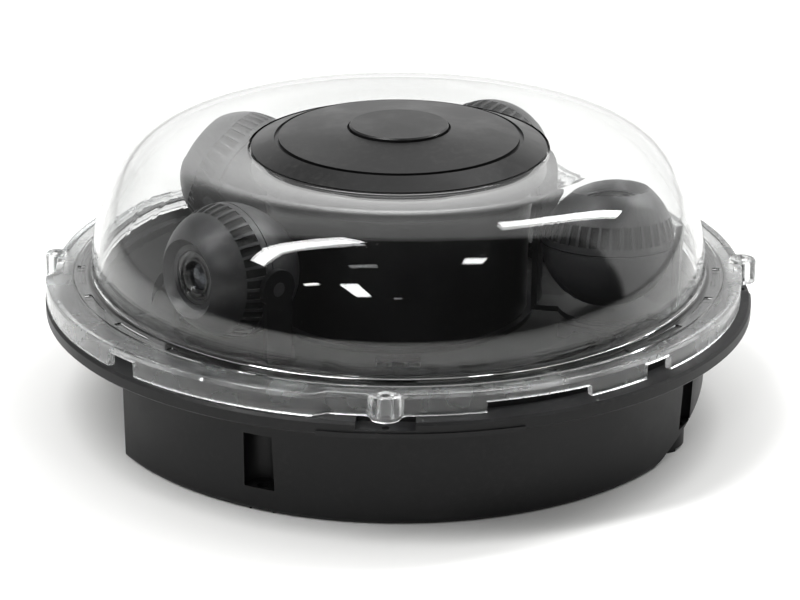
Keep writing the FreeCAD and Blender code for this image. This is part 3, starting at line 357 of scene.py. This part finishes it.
def make_dust_group():
    """Sparse specks and a thin film of dust, thicker on what faces up."""
    group, inside, outside = new_group(
        "settled_dust", [("Amount", "NodeSocketFloat", 1.0), ("Speck Scale", "NodeSocketFloat", 900.0)],
        [("Mask", "NodeSocketFloat")])
    place = add(group, "ShaderNodeTexCoord").outputs["Object"]
    normal = add(group, "ShaderNodeNewGeometry").outputs["Normal"]
    up = add(group, "ShaderNodeSeparateXYZ", {0: normal}).outputs["Z"]
    specks = add(group, "ShaderNodeTexVoronoi", {"Vector": place, "Scale": inside.outputs["Speck Scale"],
                                                 "Randomness": 1.0}, feature="F1").outputs["Distance"]
    patches = add(group, "ShaderNodeTexNoise", {"Vector": place, "Scale": 45.0, "Detail": 4.0}).outputs["Fac"]
    film = add(group, "ShaderNodeTexNoise", {"Vector": place, "Scale": 420.0, "Detail": 3.0}).outputs["Fac"]
    dots = math_node(group, "MULTIPLY", spread(group, specks, 0.20, 0.08), spread(group, patches, 0.52, 0.68))
    patchy = spread(group, patches, 0.35, 0.7, 0.05, 0.35)
    haze = math_node(group, "MULTIPLY", spread(group, film, 0.45, 0.75), patchy)
    both = math_node(group, "MAXIMUM", dots, haze)
    facing = spread(group, up, -0.2, 0.9, 0.25, 1.0)
    mask = math_node(group, "MULTIPLY", math_node(group, "MULTIPLY", both, facing), inside.outputs["Amount"])
    group.links.new(math_node(group, "MINIMUM", mask, 1.0), outside.inputs["Mask"])
    return group


def make_moulded_group():
    """The fine spark-eroded grain of moulded plastic, with broad unevenness from the mould."""
    group, inside, outside = new_group(
        "moulded_grain", [("Grain Scale", "NodeSocketFloat", 2200.0)],
        [("Height", "NodeSocketFloat"), ("Cloud", "NodeSocketFloat")])
    place = add(group, "ShaderNodeTexCoord").outputs["Object"]
    fine = add(group, "ShaderNodeTexNoise", {"Vector": place, "Scale": inside.outputs["Grain Scale"],
                                             "Detail": 2.0}).outputs["Fac"]
    cloud = add(group, "ShaderNodeTexNoise", {"Vector": place, "Scale": 28.0, "Detail": 5.0,
                                              "Roughness": 0.6}).outputs["Fac"]
    group.links.new(fine, outside.inputs["Height"])
    group.links.new(spread(group, cloud, 0.3, 0.7), outside.inputs["Cloud"])
    return group


def make_scuff_group():
    """Fine hairline marks in several directions."""
    group, inside, outside = new_group("hairline_marks", [("Scale", "NodeSocketFloat", 60.0)],
                                       [("Mask", "NodeSocketFloat")])
    place = add(group, "ShaderNodeTexCoord").outputs["Object"]
    total = None
    for turn, stretch in ((0.5, (1.0, 26.0, 14.0)), (-0.9, (22.0, 1.0, 17.0))):
        mapped = add(group, "ShaderNodeMapping", {"Vector": place, "Rotation": (turn, 0.3, turn),
                                                  "Scale": stretch})
        noise = add(group, "ShaderNodeTexNoise", {"Vector": mapped.outputs[0],
                                                  "Scale": inside.outputs["Scale"],
                                                  "Detail": 2.0}).outputs["Fac"]
        line = spread(group, noise, 0.70, 0.78)
        total = line if total is None else math_node(group, "MAXIMUM", total, line)
    group.links.new(total, outside.inputs["Mask"])
    return group


def make_slot_shade_group():
    """Painted shade for a ball's slots: a mask of their bottoms, nearer to its centre than its skin, and low
    along its axis.
    """
    group, inside, outside = new_group(
        "painted_slot_shade",
        [("Centre", "NodeSocketVector", (0, 0, 0)), ("Axis", "NodeSocketVector", (0, 0, 1))],
        [("Mask", "NodeSocketFloat")])
    place = add(group, "ShaderNodeTexCoord").outputs["Object"]
    away = add(group, "ShaderNodeVectorMath", {0: place, 1: inside.outputs["Centre"]},
               operation="SUBTRACT").outputs[0]
    depth = add(group, "ShaderNodeVectorMath", {0: away}, operation="LENGTH").outputs["Value"]
    along = add(group, "ShaderNodeVectorMath", {0: away, 1: inside.outputs["Axis"]},
                operation="DOT_PRODUCT").outputs["Value"]
    deep = spread(group, depth, (SLOT_FLOOR + 0.9) * MM, (SLOT_FLOOR + 0.3) * MM)
    low = spread(group, along, (SLOT_TOP + 0.5) * MM, SLOT_TOP * MM)
    group.links.new(math_node(group, "MULTIPLY", deep, low), outside.inputs["Mask"])
    return group


# the slot group paints shade into the balls' slots
dust_group = make_dust_group()
slot_shade_group = make_slot_shade_group()
moulded_group = make_moulded_group()
scuff_group = make_scuff_group()


def use_group(tree, group, **values):
    node = tree.nodes.new("ShaderNodeGroup")
    node.node_tree = group
    for key, setting in values.items():
        node.inputs[key.replace("_", " ")].default_value = setting
    return node


def mixed(tree, share, first, second):
    """Mixes two colours by a mask."""
    node = tree.nodes.new("ShaderNodeMix")
    node.data_type = "RGBA"
    tree.links.new(share, node.inputs["Factor"])
    for socket, colour in ((node.inputs[6], first), (node.inputs[7], second)):
        if isinstance(colour, bpy.types.NodeSocket):
            tree.links.new(colour, socket)
        else:
            socket.default_value = (*colour, 1)
    return node.outputs[2]


def new_material(name, **sockets):
    material = bpy.data.materials.new(name)
    material.use_nodes = True
    shader = material.node_tree.nodes["Principled BSDF"]
    for key, setting in sockets.items():
        shader.inputs[key.replace("_", " ")].default_value = setting
    return material, material.node_tree, shader


DUST_COLOUR = (0.34, 0.33, 0.31)


def plastic(name, dark, light, rough, grain=2200.0, depth=0.12, dust=0.6, slots=None, **sockets):
    """Black moulded plastic: clouded colour, grain in the gloss and the surface, settled dust.
    slots are a ball's centre and axis, round which shade is painted, near black, into the bottoms of its
    slots."""
    material, tree, shader = new_material(name, **sockets)
    moulded = use_group(tree, moulded_group)
    moulded.inputs["Grain Scale"].default_value = grain
    dusty = use_group(tree, dust_group, Amount=dust)
    body = mixed(tree, moulded.outputs["Cloud"], dark, light)
    gloss = spread(tree, moulded.outputs["Cloud"], 0, 1, rough - 0.05, rough + 0.06)
    if slots:
        # painted shade: the slots' bottoms are mixed to near black, and made rougher
        sunk = use_group(tree, slot_shade_group, Centre=slots[0], Axis=slots[1]).outputs["Mask"]
        body = mixed(tree, sunk, body, (0.0005, 0.0005, 0.0005))
        gloss = math_node(tree, "MULTIPLY_ADD", sunk, 0.5, gloss)
    tree.links.new(mixed(tree, dusty.outputs["Mask"], body, DUST_COLOUR), shader.inputs["Base Color"])
    rougher = math_node(tree, "MULTIPLY_ADD", dusty.outputs["Mask"], 0.35, gloss)
    tree.links.new(math_node(tree, "MINIMUM", rougher, 0.95), shader.inputs["Roughness"])
    bump = add(tree, "ShaderNodeBump", {"Height": moulded.outputs["Height"], "Strength": depth,
                                        "Distance": 0.0001})
    tree.links.new(bump.outputs[0], shader.inputs["Normal"])
    return material


def make_frost_group():
    """Where the clear cover is less clear: its flange, and more so its skirt."""
    group, inside, outside = new_group("frosted_edge", [("Amount", "NodeSocketFloat", 0.3)],
                                       [("Mask", "NodeSocketFloat")])
    place = add(group, "ShaderNodeTexCoord").outputs["Object"]
    flat = add(group, "ShaderNodeVectorMath", {0: place, 1: (1.0, 1.0, 0.0)},
               operation="MULTIPLY").outputs[0]
    radius = add(group, "ShaderNodeVectorMath", {0: flat}, operation="LENGTH").outputs["Value"]
    flange = spread(group, radius, (DOME_RADIUS + 0.5) * MM, (DOME_RADIUS + 1.8) * MM, 0.0, 0.2)
    skirt = spread(group, radius, (GUTTER_INNER + 0.2) * MM, (GUTTER_INNER + 1.0) * MM, 0.0, 0.8)
    cloud = add(group, "ShaderNodeTexNoise", {"Vector": place, "Scale": 70.0, "Detail": 3.0}).outputs["Fac"]
    uneven = spread(group, cloud, 0.3, 0.7, 0.6, 1.0)
    mask = math_node(group, "MULTIPLY", math_node(group, "ADD", flange, skirt), uneven)
    group.links.new(math_node(group, "MULTIPLY", mask, inside.outputs["Amount"]), outside.inputs["Mask"])
    return group


frost_group = make_frost_group()


def see_through(name, colour, rough, ior, dust=0.0, marks=0.0, frost=0.0, tint=(0.96, 0.97, 0.97)):
    """Clear plastic or glass. Light passes it without caustics."""
    material, tree, shader = new_material(name, Roughness=rough, IOR=ior, Transmission_Weight=1.0)
    shader.inputs["Base Color"].default_value = (*colour, 1)
    if dust or marks:
        dusty = use_group(tree, dust_group, Amount=dust)
        lines = use_group(tree, scuff_group)
        seen = math_node(tree, "MULTIPLY", lines.outputs["Mask"], marks)
        both = math_node(tree, "MAXIMUM", dusty.outputs["Mask"], seen)
        worn = spread(tree, both, 0, 1, rough, 0.4)
        frosted = use_group(tree, frost_group, Amount=frost).outputs["Mask"]
        tree.links.new(math_node(tree, "MAXIMUM", worn, frosted), shader.inputs["Roughness"])
    passing = add(tree, "ShaderNodeBsdfTransparent", {"Color": (*tint, 1)})
    shadow = add(tree, "ShaderNodeLightPath").outputs["Is Shadow Ray"]
    mix = add(tree, "ShaderNodeMixShader", {0: shadow, 1: shader.outputs[0], 2: passing.outputs[0]})
    tree.links.new(mix.outputs[0], tree.nodes["Material Output"].inputs["Surface"])
    return material


def metal(name, colour, rough, brush=(400.0, 400.0, 30.0)):
    """Plain metal with fine drawn lines."""
    material, tree, shader = new_material(name, Metallic=1.0)
    place = add(tree, "ShaderNodeTexCoord").outputs["Object"]
    lines = add(tree, "ShaderNodeMapping", {"Vector": place, "Scale": brush}).outputs[0]
    noise = add(tree, "ShaderNodeTexNoise", {"Vector": lines, "Scale": 1.0, "Detail": 3.0}).outputs["Fac"]
    darker = tuple(0.78 * part for part in colour)
    tree.links.new(mixed(tree, noise, darker, colour), shader.inputs["Base Color"])
    tree.links.new(spread(tree, noise, 0.2, 0.8, rough - 0.07, rough + 0.1), shader.inputs["Roughness"])
    bump = add(tree, "ShaderNodeBump", {"Height": noise, "Strength": 0.1, "Distance": 0.00005})
    tree.links.new(bump.outputs[0], shader.inputs["Normal"])
    return material


def circuit_board(name):
    """Green solder mask with darker routed lines and bright pads."""
    material, tree, shader = new_material(name, Roughness=0.35)
    place = add(tree, "ShaderNodeTexCoord").outputs["Object"]
    lines = add(tree, "ShaderNodeTexWave", {"Vector": place, "Scale": 240.0, "Distortion": 9.0,
                                            "Detail": 1.0})
    between = spread(tree, lines.outputs["Fac"], 0.55, 0.75)
    routed = mixed(tree, between, (0.012, 0.09, 0.035), (0.02, 0.17, 0.07))
    pads = add(tree, "ShaderNodeTexVoronoi", {"Vector": place, "Scale": 260.0}).outputs["Distance"]
    shown = mixed(tree, spread(tree, pads, 0.16, 0.1), routed, (0.5, 0.5, 0.47))
    tree.links.new(shown, shader.inputs["Base Color"])
    return material


HOUSING = plastic("housing_plastic", (0.0045, 0.0045, 0.0048), (0.009, 0.009, 0.0094), 0.46, dust=0.12,
                  Specular_IOR_Level=0.23)
CAP = plastic("cap_plastic", (0.003, 0.003, 0.0032), (0.007, 0.007, 0.0073), 0.34, dust=0.12,
              Specular_IOR_Level=0.36)
INNER = plastic("inner_plastic", (0.002, 0.002, 0.0021), (0.0045, 0.0045, 0.0047), 0.34, depth=0.06,
                dust=0.06, Specular_IOR_Level=0.12)


def ball_plastic(camera):
    """The plastic of one camera's ball, with shade painted into its slots from its own centre and axis."""
    track, pan, lift = CAMERAS[camera]
    place, way, rise = math.radians(track), math.radians(track + pan), math.radians(lift)
    centre = (TRACK_CIRCLE * math.cos(place) * MM, TRACK_CIRCLE * math.sin(place) * MM, BALL_HEIGHT * MM)
    axis = (math.cos(way) * math.cos(rise), math.sin(way) * math.cos(rise), math.sin(rise))
    return plastic(f"ball_plastic_{camera}", (0.011, 0.011, 0.0115), (0.02, 0.02, 0.021), 0.42, depth=0.08,
                   dust=0.15, slots=(centre, axis), Specular_IOR_Level=0.3)


LENS_BLACK = plastic("lens_barrel_plastic", (0.004, 0.004, 0.004), (0.008, 0.008, 0.008), 0.28, depth=0.05,
                     dust=0.03)
RUBBER = plastic("seal_rubber", (0.006, 0.006, 0.006), (0.012, 0.012, 0.012), 0.7, grain=900.0, dust=0.1,
                 Specular_IOR_Level=0.3)
TRAY = plastic("tray_paint", (0.003, 0.003, 0.003), (0.006, 0.006, 0.006), 0.5, grain=1500.0, dust=0.1,
               Specular_IOR_Level=0.15)
CLEAR = see_through("clear_plastic", (0.945, 0.95, 0.949), 0.006, 1.46, dust=0.3, marks=0.3, frost=0.3)
LENS_GLASS = see_through("coated_glass", (0.2, 0.22, 0.28), 0.005, 1.5, tint=(0.3, 0.33, 0.4))
STEEL = metal("screw_steel", (0.56, 0.56, 0.55), 0.32)
ALUMINIUM = metal("sink_aluminium", (0.66, 0.66, 0.68), 0.4)
JACK = metal("jack_plating", (0.62, 0.61, 0.58), 0.3)
BOARD = circuit_board("board_mask")

FINISHES = {
    "base_housing": HOUSING, "conduit_plug": HOUSING, "cover_seal": RUBBER, "cap_seal": RUBBER,
    "cable_grommet": RUBBER, "chassis": TRAY, "track_rail": INNER, "hub_cover": INNER,
    "cap_clamp_ring": INNER, "centre_cap": CAP, "centre_plug": CAP, "dome_cover": CLEAR,
    "chassis_screws": STEEL, "hub_screws": STEEL, "board_screws": STEEL, "cap_clamp_screws": STEEL,
    "heat_sink": ALUMINIUM, "network_jack": JACK, "main_board": BOARD,
}
for camera in CAMERAS:
    ball = ball_plastic(camera)
    FINISHES |= {
        f"carriage_{camera}": INNER, f"yoke_{camera}": INNER, f"ball_front_{camera}": ball,
        f"ball_rear_{camera}": ball, f"lens_barrel_{camera}": LENS_BLACK, f"lens_glass_{camera}": LENS_GLASS,
        f"sensor_board_{camera}": BOARD,
    }


def finish(piece, material):
    piece.data.materials.clear()
    piece.data.materials.append(material)


for name, material in FINISHES.items():
    finish(nodes[name], material)

clear_cover = make_clear_cover()
finish(clear_cover, CLEAR)
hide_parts("dome_cover")
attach(clear_cover, "cover")


# The studio: pale floor, pale backdrop behind, ceiling lamps and a soft fill, in metres
FLOOR_SIZE, LAMP_HEIGHT, LAMP_RADIANCE = 14.0, 1.5, 20.0
FILL_SIZE, FILL_HEIGHT, FILL_RADIANCE = 4.0, 2.2, 0.7
CAMERA_PLACE, CAMERA_DIP, CAMERA_ROLL = (0.000693, -1.148249, 0.485989), 0.36693665, 0.003814415
SENSOR_WIDTH, FOCAL_LENGTH = 36.0, 128.697


def make_floor():
    deselect()
    bpy.ops.mesh.primitive_plane_add(size=FLOOR_SIZE, location=(0, 0, 0))
    floor = bpy.context.object
    floor.name = "floor"
    material, tree, shader = new_material("pale_floor", Roughness=0.85)
    shader.inputs["Base Color"].default_value = (0.86, 0.86, 0.85, 1)
    shader.inputs["Specular IOR Level"].default_value = 0.2
    finish(floor, material)


def make_backdrop():
    """A pale sweep behind the object, darker half-way up and to the left, and a dim room in front."""
    world = bpy.data.worlds.new("studio")
    bpy.context.scene.world = world
    world.use_nodes = True
    tree = world.node_tree
    background = tree.nodes["Background"]
    way = add(tree, "ShaderNodeSeparateXYZ", {0: add(tree, "ShaderNodeTexCoord").outputs["Generated"]})
    behind = spread(tree, way.outputs["Y"], -0.03, 0.03)
    low = spread(tree, way.outputs["Z"], 0.6, 0.38, 0.28, 1.0)
    high = spread(tree, way.outputs["Z"], 0.66, 0.84, 0.0, 0.7)
    side = spread(tree, way.outputs["X"], -0.8, -0.15, 0.55, 1.0)
    pale = math_node(tree, "MULTIPLY", math_node(tree, "ADD", low, high), side)
    sweep = math_node(tree, "MULTIPLY_ADD", behind, pale, 0.05)
    seen = add(tree, "ShaderNodeLightPath").outputs["Is Camera Ray"]
    tree.links.new(math_node(tree, "MAXIMUM", sweep, seen), background.inputs["Strength"])
    background.inputs["Color"].default_value = (1, 1, 0.995, 1)


def ceiling_lamp(name, ends, width, radiance=LAMP_RADIANCE):
    """A strip lamp in the ceiling from one end to the other, given on the floor plan."""
    start, end = Vector(ends[0]), Vector(ends[1])
    along = end - start
    data = bpy.data.lights.new(name, "AREA")
    data.shape = "RECTANGLE"
    data.size, data.size_y = along.length, width
    data.energy = radiance * math.pi * along.length * width
    lamp = bpy.data.objects.new(name, data)
    bpy.context.scene.collection.objects.link(lamp)
    middle = (start + end) / 2
    lamp.location = (middle.x, middle.y, LAMP_HEIGHT)
    lamp.rotation_euler = (0, 0, math.atan2(along.y, along.x))


def soft_fill():
    """A wide soft light from above for the floor, which the shiny surfaces don't mirror."""
    data = bpy.data.lights.new("soft_fill", "AREA")
    data.shape = "DISK"
    data.size = FILL_SIZE
    data.energy = FILL_RADIANCE * math.pi * math.pi * (FILL_SIZE / 2) ** 2
    lamp = bpy.data.objects.new("soft_fill", data)
    bpy.context.scene.collection.objects.link(lamp)
    lamp.location = (0, 0, FILL_HEIGHT)
    lamp.visible_glossy = False
    lamp.visible_transmission = False


def make_camera():
    data = bpy.data.cameras.new("photo_camera")
    data.sensor_width = SENSOR_WIDTH
    data.lens = FOCAL_LENGTH
    camera = bpy.data.objects.new("photo_camera", data)
    bpy.context.scene.collection.objects.link(camera)
    camera.matrix_world = (Matrix.Translation(CAMERA_PLACE)
                           @ Matrix.Rotation(math.pi / 2 - CAMERA_DIP, 4, "X")
                           @ Matrix.Rotation(CAMERA_ROLL, 4, "Z"))
    bpy.context.scene.camera = camera


make_floor()
make_backdrop()
soft_fill()
ceiling_lamp("lamp_left", ((-1.80, -1.0), (-0.25, -0.2)), 0.235)
ceiling_lamp("lamp_right", ((0.475, 0.39), (1.96, 0.98)), 0.25)
ceiling_lamp("lamp_front", ((-0.70, -1.9), (-0.6, -2.6)), 0.28)
ceiling_lamp("lamp_side", ((0.66, -1.08), (0.90, -1.06)), 0.15)
ceiling_lamp("lamp_far", ((-1.47, -1.93), (-1.17, -1.87)), 0.1)
ceiling_lamp("lamp_dot", ((-0.07, -2.706), (0.07, -2.706)), 0.04)
ceiling_lamp("lamp_faint", ((-0.52, -1.27), (-0.22, -1.25)), 0.06, radiance=4.0)
make_camera()
bpy.context.scene.view_settings.view_transform = "Standard"
